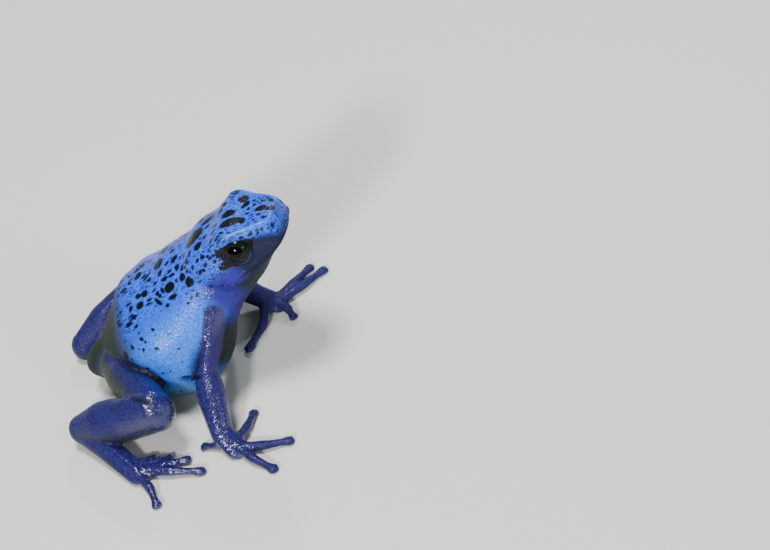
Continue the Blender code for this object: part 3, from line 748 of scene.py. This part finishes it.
def mirrored_spot(spot, tree, draw):
    """The same spot on the hidden side, moved and resized a little, as no frog is quite even."""
    centre, long_way, wide_way, depth, half = spot
    if centre[0] > NECK[0]:
        place = from_head(to_head(centre) * (1, -1, 1))
        turned = [(way @ HEAD_TURN * (1, -1, 1)) @ HEAD_TURN.T for way in (long_way, wide_way)]
    else:
        place = centre * (1, -1, 1)
        turned = [way * (1, -1, 1) for way in (long_way, wide_way)]
    place = place + draw.normal(0, 0.5, 3)
    hit, normal, _, _ = tree.find_nearest(Vector(place))
    size = draw.uniform(0.8, 1.25)
    return np.array(hit), turned[0] / size, turned[1] / size, np.array(normal) / SPOT_DEPTH, half * size


def spot_field(points, spots):
    """Depth inside the nearest spot's edge in millimetres: its half width times one less the
    elliptic distance from its middle."""
    field = np.full(len(points), -1.0)
    for centre, long_way, wide_way, depth, half in spots:
        away = points - centre
        ring = np.sqrt((away @ long_way) ** 2 + (away @ wide_way) ** 2 + (away @ depth) ** 2)
        field = np.maximum(field, (1 - ring) * half)
    return field


tree = skin_tree(points, skin_mesh)
draw = np.random.default_rng(11)
spots = []
for across, down, length, width, tilt in SPOTS:
    hit, normal, _, _ = tree.ray_cast(Vector(camera_place), Vector(pixel_ray(across, down)))
    if hit:
        tilt = math.radians(tilt)
        direction = math.cos(tilt) * view_right + math.sin(tilt) * view_up
        spots.append(spot_here(np.array(hit), np.array(normal), direction, length, width))
seen = len(spots)
spots += [mirrored_spot(spot, tree, draw) for spot in spots
          if body_coordinates(spot[0][None])[1][0] < HIDDEN_TURN]
print(seen, "spots from the photo and", len(spots) - seen, "on the hidden side")

# %% Where the limbs lie
HIND = unit([-0.6, 0.05, -0.8])           # way that the greyer hind side of a leg faces
normals = outward_normals(points, skin_mesh)
rearward = -normals[:, 0]
arm_near = nearest_length(points, ("upper_arm", "forearm"))
leg_or_hand = 1 - smoothstep(nearest_length(points, ("thigh", "shank", "foot", "hand", "digit")), 0.35, 0.8)
thigh = 1 - smoothstep(nearest_length(points, ("thigh",)), 0.35, 0.8)
limb = np.maximum(1 - smoothstep(arm_near, 0.1, 0.4), leg_or_hand)
# The hind side of each leg, facing down and back, gets painted shade with a painted green reflection.
leg_hind_shade = leg_or_hand * smoothstep(normals @ HIND, -0.2, 0.7)
print("limbs cover", round(limb.mean() * 100), "percent of the points")

# %% Where the face, the net and the rump lie
# How far round the back the net reaches: millimetres along the body, and the angle from the top.
NET_EDGE = ((8, 1.0), (14, 0.9), (16, 0.86), (20, 0.94), (24, 1.04), (27, 1.12), (30, 1.08))
fore, high = in_head[:, 0], in_head[:, 2]
lower = np.abs(turn)
over_mouth, _ = mouth_offset(in_head)
ridge_height = np.interp(fore, [place[0] for place in RIDGE], [place[2] for place in RIDGE])
side_face = smoothstep(fore, 4.0, 6.5) * (1 - smoothstep(high - ridge_height, -2.3, -0.8))
side_face = side_face * (1 - 0.65 * smoothstep(fore + 0.5 * high, 11.6, 12.6))
jaw = smoothstep(fore, 1.0, 4.5) * (1 - smoothstep(over_mouth, -0.7, 0.1))
cheek = np.maximum(smoothstep(along, 22.5, 26) * smoothstep(lower, 0.84, 1.08),
                   smoothstep(fore, -0.5, 2.0) * (1 - smoothstep(high, 0.0, 1.2)))
throat = smoothstep(along, 24, 28) * smoothstep(lower, 1.55, 1.9)
# The rump and vent face back and down; their grey-green is painted green reflected light with painted shade.
rump = (1 - smoothstep(points[:, 0], 5.0, 11.5)) * smoothstep(rearward, 0.0, 0.75)
rump = np.maximum(rump, 1 - smoothstep(points[:, 0], 3.0, 5.5))
net_edge = np.interp(along, *np.transpose(NET_EDGE))
net = 1 - smoothstep(lower, net_edge - 0.3, net_edge + 0.1)
net = net * (1 - limb) * (1 - rump) * (1 - 0.95 * side_face) * (1 - jaw)
print("the net covers", round(net.mean() * 100), "percent of the points")

# %% Round the eye, and all the masks
# The dark patch on the cheek, as strokes: start, end, radius there and there.
PATCH_STROKES = (
    ((7.4, 5.3, 1.8), (10.3, 4.1, 1.45), 1.35, 0.05),
    ((5.5, 5.9, 2.2), (4.3, 6.1, 2.4), 1.5, 1.1),
    ((4.9, 6.4, 0.8), (2.9, 6.1, 0.9), 0.8, 0.6),
)
PATCH_RING = 11               # degrees of lid round the eye that the patch covers
PATCH_TOP = 0.95              # millimetres under the ridge where the patch ends
SCUFF = (273.0, 206.0)        # pixel of the grey scuff on the snout
ring = PATCH_RING * (1 - 0.7 * smoothstep(rim_rise, 0.1, 0.8)) - past_rim
patch = ring * math.radians(EYE_RADIUS)   # from degrees round the eye to millimetres
for start, end, first, last in PATCH_STROKES:
    distance, share = line_distance(in_head, start, end)
    patch = np.maximum(patch, first + (last - first) * share - distance)
patch = np.minimum(patch, ridge_height - PATCH_TOP - high)
# Painted highlight: a pale arc on the wet lower rim of each lid, at the front.
lid_highlight = bell(past_rim - 3.5, 1.5) * (1 - smoothstep(rim_rise, -0.75, -0.35))
lid_highlight = lid_highlight * smoothstep(fore, EYE[0] - 1.0, EYE[0] + 0.6)
from_nostril = np.linalg.norm(left_half(in_head) - NOSTRIL, axis=1)
brow_crest = bell(ridge_distance(in_head), 0.32) * smoothstep(fore, 5.0, 6.0)
scuff_at = np.array(tree.ray_cast(Vector(camera_place), Vector(pixel_ray(*SCUFF)))[0])
masks = {
    "limb": limb,
    "leg_hind_shade": np.maximum(leg_hind_shade, thigh * smoothstep(rearward, 0.3, 0.8)),
    "flank": smoothstep(lower, 0.75, 1.25),
    # Low on the body: painted shade with a painted green reflection, and the belly's wrinkles.
    "belly": 1 - smoothstep(points[:, 2], 2.0, 9.5),
    # Under the chest, between the arms: painted shade with a painted green reflection.
    "chest": smoothstep(lower, 1.58, 1.8) * smoothstep(along, 15, 19),
    "rump": rump,
    "jaw": np.maximum(jaw, throat),
    "cheek": np.maximum(cheek, 0.9 * side_face),
    "side_face": side_face,
    "net": net,
    "head_net": smoothstep(fore, -3.0, 1.0),
    "snout": smoothstep(fore, 10.0, 12.3),
    "scuff": bell(np.linalg.norm(points - scuff_at, axis=1), 0.9),
    "spot": spot_field(points, spots),
    "patch": np.clip(patch, -1, 1),
    "lid_highlight": lid_highlight,
    "crest": np.maximum(brow_crest, bell(foot_ridge, 0.35)),
    # Painted shade: the folds, the creases and the pits of the nostrils.
    "fold": np.maximum(shaded_fold_mask, 1 - smoothstep(from_nostril, 0.2, 0.65)),
}
print("masks:", ", ".join(masks))

# %% The skin's object
skin_mesh.vertices.foreach_set("co", ((points - MIDDLE) * MM).ravel())
skin_mesh.update()
skin_mesh.name = "skin"
skin = shown("skin", skin_mesh)
skin_mesh.shade_smooth()
for name, values in masks.items():
    write_attribute(skin_mesh, name, values)
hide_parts(*[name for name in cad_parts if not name.startswith("eye_")])
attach(skin, "root")
print("skin:", len(skin_mesh.loop_triangles), "triangles")

# %% [markdown]
# ## Moist frog skin
#
# The skin is a thin glossy film over granules a quarter of a millimetre wide, packed like cobbles. That
# is why its highlights break into sparks. A picture could show that from one side only, so it is built
# from cell textures at the granules' real size: one for the relief, one for the netting on the back, and
# the masks choose among a handful of blues.


# %% Colours and nodes
def rgb(code):
    """Linear colour of an sRGB hex code, as shader sockets want it."""
    parts = [int(code[i:i + 2], 16) / 255 for i in (1, 3, 5)]
    return [part / 12.92 if part <= 0.04045 else ((part + 0.055) / 1.055) ** 2.4 for part in parts] + [1.0]


def add(tree, kind, values=(), out=0, **settings):
    """Adds a node and returns one of its outputs. Settings are the node's own options. Values fill
    its sockets, in order or by name: an output of another node is linked, anything else is the
    socket's constant."""
    made = tree.nodes.new("ShaderNode" + kind)
    for name, value in settings.items():
        setattr(made, name, value)
    for socket, value in values.items() if isinstance(values, dict) else enumerate(values):
        if isinstance(value, bpy.types.NodeSocket):
            tree.links.new(value, made.inputs[socket])
        else:
            made.inputs[socket].default_value = value
    return made.outputs[out]


def repeats(size):
    """The scale of a pattern whose repeat is that many millimetres across."""
    return 1 / (size * MM)


def new_material(name):
    """A material with its node tree and its principled shader."""
    material = bpy.data.materials.new(name)
    material.use_nodes = True
    return material, material.node_tree, material.node_tree.nodes["Principled BSDF"]


# %% Skin colours and sizes
AZURE = rgb("#1c4fe2")        # ground of the back
# The pale line also paints a highlight along the ridge over each eye.
PALE_LINE = rgb("#3f86ff")    # thin lines of the net
MIDNIGHT = rgb("#0c1546")     # small dots between the drops of the net
SKY = rgb("#2c7cff")          # flanks
# Painted shade in the grooves between the granules.
GROOVE_SHADE = rgb("#1b429c")       # between the granules of the back and flanks
# Painted shade with a painted green reflection, low on the belly.
TEAL = rgb("#27657c")         # lower belly
# Painted shade with a painted green reflection, under the chest.
CHEST = rgb("#101b17")        # chest between the arms
# Painted green reflected light with painted shade, on the rump and vent.
RUMP_REFLECTED_GREEN = rgb("#1f2a20")   # rump and vent
# Painted shade with a painted green reflection, on the hind side of the legs.
LEG_HIND_SHADE = rgb("#232d24")    # hind side of the legs
COBALT = rgb("#1c1a4c")       # limbs
# Painted light on the tops of the granules of the limbs.
COBALT_LIT = rgb("#303390")  # tops of the granules on the limbs
VIOLET = rgb("#241f86")       # cheeks and shoulders
FACE = rgb("#171b36")         # side of the snout, under the ridge
SLATE = rgb("#121d2c")        # lower jaw and throat
SCUFFED = rgb("#4a494e")      # rubbed skin on the snout
# Painted highlight on the wet lower rim of the lids.
LID_HIGHLIGHT = rgb("#2c4680")
INK = rgb("#0c0806")          # spots
# Sizes in millimetres. Real pores are finer, and are drawn this coarse so that they show.
GRANULE = 0.26
NET_CELL, HEAD_CELL, DOT_CELL = 0.92, 0.62, 0.36
BLOTCH, WAVER, FLAKE, PORE = 3.5, 0.6, 0.5, 0.1
WRINKLE = 0.9
NET_WANDER, NET_SHIFT = 2.5, 0.9          # lumps that push the net about, and how far they push it
NET_STRETCH = 0.56            # a cell's width as a share of its length along the body
BUMP_DEPTH = 0.045            # millimetres from the grooves to the tops of the granules


# %% Patterns of the skin
def drops_of(tree, vector, size, small, large):
    """Depth inside the drops of a cell pattern: each cell's own radius, between small and large as
    shares of the cell, less the distance from its middle."""
    middle = add(tree, "TexVoronoi", {"Vector": vector, "Scale": repeats(size)})
    own = add(tree, "SeparateXYZ", [middle.node.outputs["Color"]])
    radius = add(tree, "MapRange", [own, 0.0, 1.0, small, large])
    return add(tree, "Math", [radius, middle], operation="SUBTRACT")


material, tree, shader = new_material("moist_skin")
mask = {name: add(tree, "Attribute", out="Fac", attribute_name=name) for name in masks}
place = add(tree, "TexCoord", out="Object")
axis_turn = math.atan2(AXIS[2], AXIS[0])
aligned = add(tree, "Mapping", {"Vector": place, "Rotation": (0.0, axis_turn, 0.0)})
wander = add(tree, "TexNoise", {"Vector": aligned, "Scale": repeats(NET_WANDER), "Detail": 1.0}, out="Color")
wander = add(tree, "VectorMath", [wander, (0.5, 0.5, 0.5)], operation="SUBTRACT")
wander = add(tree, "VectorMath", {0: wander, "Scale": NET_SHIFT * MM}, operation="SCALE")
warped = add(tree, "VectorMath", [aligned, wander], operation="ADD")
stretched = add(tree, "Mapping", {"Vector": warped, "Scale": (NET_STRETCH, 1.0, 1.0)})
granules = add(tree, "TexVoronoi", {"Vector": place, "Scale": repeats(GRANULE)}, feature="SMOOTH_F1")
blotch, waver, flakes, pores = [
    add(tree, "TexNoise", {"Vector": place, "Scale": repeats(size), "Detail": 3.0})
    for size in (BLOTCH, WAVER, FLAKE, PORE)]
blotch = add(tree, "MapRange", [blotch, 0.3, 0.7])
print("patterns from", PORE, "to", BLOTCH, "mm across")

# %% The net: dark drops between thin pale lines
# They are longer than wide and fade out down the flanks, with small blue-black dots strewn between.
back_line, head_line = [
    add(tree, "TexVoronoi", {"Vector": stretched, "Scale": repeats(size)}, feature="DISTANCE_TO_EDGE")
    for size in (NET_CELL, HEAD_CELL)]
line = add(tree, "Mix", {0: mask["head_net"], 2: back_line, 3: head_line}, data_type="FLOAT")
pale = add(tree, "MapRange", [line, 0.1, 0.03, 0.0, 0.45])
pale = add(tree, "Math", [pale, mask["net"]], operation="MULTIPLY")
fade = add(tree, "MapRange", [mask["net"], 0.0, 1.0, -0.26, 0.0])
near_spot = add(tree, "MapRange", [mask["spot"], -0.4, -0.1, 0.0, -0.3])
fade = add(tree, "Math", [fade, near_spot], operation="ADD")
dots = add(tree, "Math", [drops_of(tree, stretched, DOT_CELL, 0.1, 0.52), fade], operation="ADD")
dots = add(tree, "MapRange", [dots, -0.03, 0.1, 0.0, 0.85])
drops = add(tree, "Mix", {0: mask["head_net"], 2: drops_of(tree, stretched, NET_CELL, 0.2, 0.54),
                          3: drops_of(tree, stretched, HEAD_CELL, 0.16, 0.56)}, data_type="FLOAT")
for thinner in (fade, add(tree, "MapRange", [mask["snout"], 0.0, 1.0, 0.0, -0.12])):
    drops = add(tree, "Math", [drops, thinner], operation="ADD")
print("net cells:", NET_CELL, "mm on the back and", HEAD_CELL, "mm on the head")

# %% Skin colours, laid from back to front
# Painted shade in the grooves between the granules.
groove_shade = add(tree, "MapRange", [granules, 0.3, 0.6, 0.0, 0.5])
# Painted light on the tops of the granules of the limbs.
lit_tops = add(tree, "MapRange", [granules, 0.55, 0.2, 0.0, 0.4])
cobalt = add(tree, "Mix", {0: lit_tops, 6: COBALT, 7: COBALT_LIT}, out=2, data_type="RGBA")
# Painted shade with a painted green reflection on the hind side of the legs.
cobalt = add(tree, "Mix", {0: mask["leg_hind_shade"], 6: cobalt, 7: LEG_HIND_SHADE}, out=2, data_type="RGBA")
scuff = add(tree, "MapRange", [flakes, 0.4, 0.6])
scuff = add(tree, "Math", [mask["scuff"], scuff], operation="MULTIPLY")
waver = add(tree, "MapRange", [waver, 0.3, 0.7, -0.05, 0.05])
spot, patch = [
    add(tree, "MapRange", [add(tree, "Math", [mask[name], waver], operation="ADD"), -0.04, 0.05])
    for name in ("spot", "patch")]
# Painted highlight: a pale line along the ridge over each eye, faded out on the limbs.
ridge_highlight = add(tree, "MapRange", [mask["limb"], 0.0, 1.0, 0.5, 0.0])
ridge_highlight = add(tree, "Math", [mask["crest"], ridge_highlight], operation="MULTIPLY")
# Painted shade in the folds, the creases and the nostril pits.
fold = add(tree, "Math", [mask["fold"], 0.85], operation="MULTIPLY")
colour = AZURE
for share, tint in (
    (mask["flank"], SKY),
    (groove_shade, GROOVE_SHADE),
    # Painted shade and green reflection, low on the belly.
    (mask["belly"], TEAL),
    # Painted shade and green reflection under the chest.
    (mask["chest"], CHEST),
    (mask["cheek"], VIOLET),
    (mask["side_face"], FACE),
    (mask["jaw"], SLATE),
    # Painted green reflected light and shade on the rump.
    (mask["rump"], RUMP_REFLECTED_GREEN),
    (pale, PALE_LINE),
    (dots, MIDNIGHT),
    (add(tree, "MapRange", [drops, -0.09, 0.02, 0.0, 0.75]), MIDNIGHT),
    (add(tree, "MapRange", [drops, -0.01, 0.05]), INK),
    (mask["limb"], cobalt),
    (scuff, SCUFFED),
    (spot, INK),
    (patch, INK),
    (mask["lid_highlight"], LID_HIGHLIGHT),
    (ridge_highlight, PALE_LINE),
    (fold, INK),
):
    colour = add(tree, "Mix", {0: share, 6: colour, 7: tint}, out=2, data_type="RGBA")
print(len(tree.nodes), "nodes after the colours")

# %% Skin relief and gloss
# Granules stand over the whole skin, deeper on the limbs, with fine pores, and the belly is wrinkled.
# Three values on the body and on the limbs: depth of the relief, roughness, and weight of the wet film.
depth, gloss, film = [add(tree, "Mix", {0: mask["limb"], 2: body, 3: limbs}, data_type="FLOAT")
                      for body, limbs in ((0.85, 1.0), (0.36, 0.22), (0.17, 1.0))]
relief = add(tree, "MapRange", [granules, 0.7, 0.1])
for factor in (depth, add(tree, "MapRange", [mask["crest"], 0.0, 0.7, 1.0, 0.25])):
    relief = add(tree, "Math", [relief, factor], operation="MULTIPLY")
relief = add(tree, "Math", [pores, 0.12, relief], operation="MULTIPLY_ADD")
wrinkled = add(tree, "Mapping", {"Vector": place, "Scale": (0.5, 1.0, 2.2)})
wrinkled = add(tree, "TexNoise", {"Vector": wrinkled, "Scale": repeats(WRINKLE), "Detail": 3.0})
wrinkled = add(tree, "Math", [wrinkled, mask["belly"]], operation="MULTIPLY")
relief = add(tree, "Math", [wrinkled, 3.0, relief], operation="MULTIPLY_ADD")
bump = add(tree, "Bump", {"Height": relief, "Strength": 1.0, "Distance": BUMP_DEPTH * MM})
dull = mask["jaw"]
for name in ("chest", "fold", "rump", "side_face"):
    dull = add(tree, "Math", [dull, mask[name]], operation="MAXIMUM")
gloss = add(tree, "Math", [blotch, 0.06, gloss], operation="MULTIPLY_ADD")
gloss = add(tree, "Math", [dull, 0.3, gloss], operation="MULTIPLY_ADD")
gloss = add(tree, "Mix", {0: mask["crest"], 2: gloss, 3: 0.15}, data_type="FLOAT")
film = add(tree, "Math", [film, add(tree, "MapRange", [dull, 0.0, 1.0, 1.0, 0.1])], operation="MULTIPLY")
for socket, value in (("Base Color", colour), ("Roughness", gloss), ("Normal", bump),
                      ("Coat Weight", film), ("Coat Normal", bump)):
    tree.links.new(value, shader.inputs[socket])
for socket, value in (
    ("IOR", 1.38),                # the skin is mostly water
    ("Specular IOR Level", 0.3),  # and its pores swallow part of the glare
    ("Coat IOR", 1.5),            # the film over it is a slimy one
    ("Coat Roughness", 0.13),     # and throws small sharp sparks
):
    shader.inputs[socket].default_value = value
skin_mesh.materials.append(material)
print(len(tree.nodes), "nodes in the moist skin")

# %% [markdown]
# ## Wet eyes
#
# A frog's eye is a ball with a glassy surface, nearly all of it iris and pupil. The ball is turned so
# that its pole looks the way the eye looks, which makes the pupil a plain ellipse about the pole. The
# depth of a real eye comes from its wet front, which mirrors the lamps over a dark iris.


# %% Eyeballs
PUPIL = (0.55, 0.42)          # half length and half height, as shares of the eye's radius


def ball_surface(side, rows=64, around=96):
    """Rings round the way the eye looks: the cosine of the angle from it along that way, the sine
    times the cosine and sine of the turn across it. Also the elliptic distance from the pupil's
    middle, which is one at its edge."""
    centre, looks, ahead, lift = eye_axes(side)
    polar = np.linspace(0, math.pi, rows + 2)[1:-1, None]
    angles = turns(around)[None, :]
    across, upward = np.sin(polar) * np.cos(angles), np.sin(polar) * np.sin(angles)
    forward = np.cos(polar) * np.ones_like(angles)
    grid = centre + EYE_RADIUS * (across[..., None] * ahead + upward[..., None] * lift
                                  + forward[..., None] * looks)
    from_pupil = np.hypot(across / PUPIL[0], upward / PUPIL[1]) + 9 * (forward < 0)
    points, faces = closed_surface(grid, centre + EYE_RADIUS * looks, centre - EYE_RADIUS * looks)
    return from_head(points), faces, np.append(from_pupil.ravel(), [0, 9])


eyeballs = {"left": ball_surface(1), "right": ball_surface(-1)}
print("eyeballs of", len(eyeballs["left"][0]), "points each")

# %% Eye material and the eyes in place
PUPIL_BLACK = rgb("#030403")
IRIS = rgb("#162019")
IRIS_EDGE = rgb("#0a100b")
FIBRE = 0.15                  # millimetres across the flecks of the iris
eye_material, tree, shader = new_material("wet_eye")
edge = add(tree, "Attribute", out="Fac", attribute_name="from_pupil")
place = add(tree, "TexCoord", out="Object")
fibres = add(tree, "TexNoise", {"Vector": place, "Scale": repeats(FIBRE), "Detail": 3.0})
flecks = add(tree, "MapRange", [fibres, 0.35, 0.65])
outer = add(tree, "MapRange", [edge, 1.25, 1.7])
past_pupil = add(tree, "MapRange", [edge, 0.96, 1.04])
iris = add(tree, "Mix", {0: flecks, 6: IRIS_EDGE, 7: IRIS}, out=2, data_type="RGBA")
iris = add(tree, "Mix", {0: outer, 6: iris, 7: IRIS_EDGE}, out=2, data_type="RGBA")
colour = add(tree, "Mix", {0: past_pupil, 6: PUPIL_BLACK, 7: iris}, out=2, data_type="RGBA")
tree.links.new(colour, shader.inputs["Base Color"])
shader.inputs["Roughness"].default_value = 0.08  # wet and smooth, so the lamps show as points
shader.inputs["Specular IOR Level"].default_value = 0.15
for name, (own_points, own_faces, from_pupil) in eyeballs.items():
    mesh = bpy.data.meshes.new(f"eye_{name}_ball")
    mesh.from_pydata(((own_points - MIDDLE) * MM).tolist(), [], own_faces)
    mesh.shade_smooth()
    write_attribute(mesh, "from_pupil", from_pupil)
    mesh.materials.append(eye_material)
    eye = shown(f"eye_{name}_ball", mesh)
    shape = bmesh.new()
    shape.from_mesh(mesh)
    bmesh.ops.recalc_face_normals(shape, faces=shape.faces[:])
    shape.to_mesh(mesh)
    shape.free()
    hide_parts(f"eye_{name}")
    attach(eye, "root")
print("two eyes set in their lids")

# %% [markdown]
# ## The studio
#
# Wet skin shows its shape by its highlights, so the lamps matter as much as the colours. One broad flat
# light would be easy but would leave the skin looking dry. A wide lamp overhead gives the soft shade, and
# small ones in front and behind strike sparks off the granules and the eyes, over a plain pale floor.

# %% Floor and camera
# The floor is matt painted board, which takes soft shadows and mirrors nothing.
floor_mesh = bpy.data.meshes.new("floor")
floor_mesh.from_pydata([(-2, -2, 0), (2, -2, 0), (2, 2, 0), (-2, 2, 0)], [], [(0, 1, 2, 3)])
floor = shown("floor", floor_mesh)
material, tree, shader = new_material("pale_floor")
shader.inputs["Base Color"].default_value = rgb("#dcdcd8")
shader.inputs["Roughness"].default_value = 0.7
floor_mesh.materials.append(material)

camera_data = bpy.data.cameras.new("camera")
camera_data.lens = CAMERA_LENS
camera_data.clip_start = 0.01
camera = shown("camera", camera_data)
camera.matrix_world = Matrix.Translation(Vector((camera_place - MIDDLE) * MM)) @ Matrix(
    np.stack([view_right, view_up, view_back], axis=1).tolist()).to_4x4()
bpy.context.scene.camera = camera
print("camera", CAMERA_AWAY, "mm away and", CAMERA_LIFT, "degrees above the floor")

# %% Lamps
world = bpy.data.worlds.new("studio")
bpy.context.scene.world = world
world.use_nodes = True
sky = world.node_tree.nodes["Background"].inputs
sky["Color"].default_value = rgb("#dfe3e6")
sky["Strength"].default_value = 0.25


def soft_light(name, place, size, power):
    """A round lamp of that diameter in metres and power in watts, turned to face the frog."""
    data = bpy.data.lights.new(name, "AREA")
    data.shape = "DISK"
    data.size = size
    data.energy = power
    light = shown(name, data)
    light.location = place
    light.rotation_euler = (Vector(place) - Vector((0, 0, 0.01))).to_track_quat("Z", "Y").to_euler()


soft_light("key", (0.0, 0.03, 0.58), 0.16, 3.2)
soft_light("lamp", (0.13, 0.46, 0.34), 0.06, 0.9)
soft_light("front", (-0.14, -0.44, 0.30), 0.08, 2.7)
soft_light("fill", (0.45, -0.30, 0.25), 0.2, 0.7)
print(len(bpy.data.lights), "lamps")
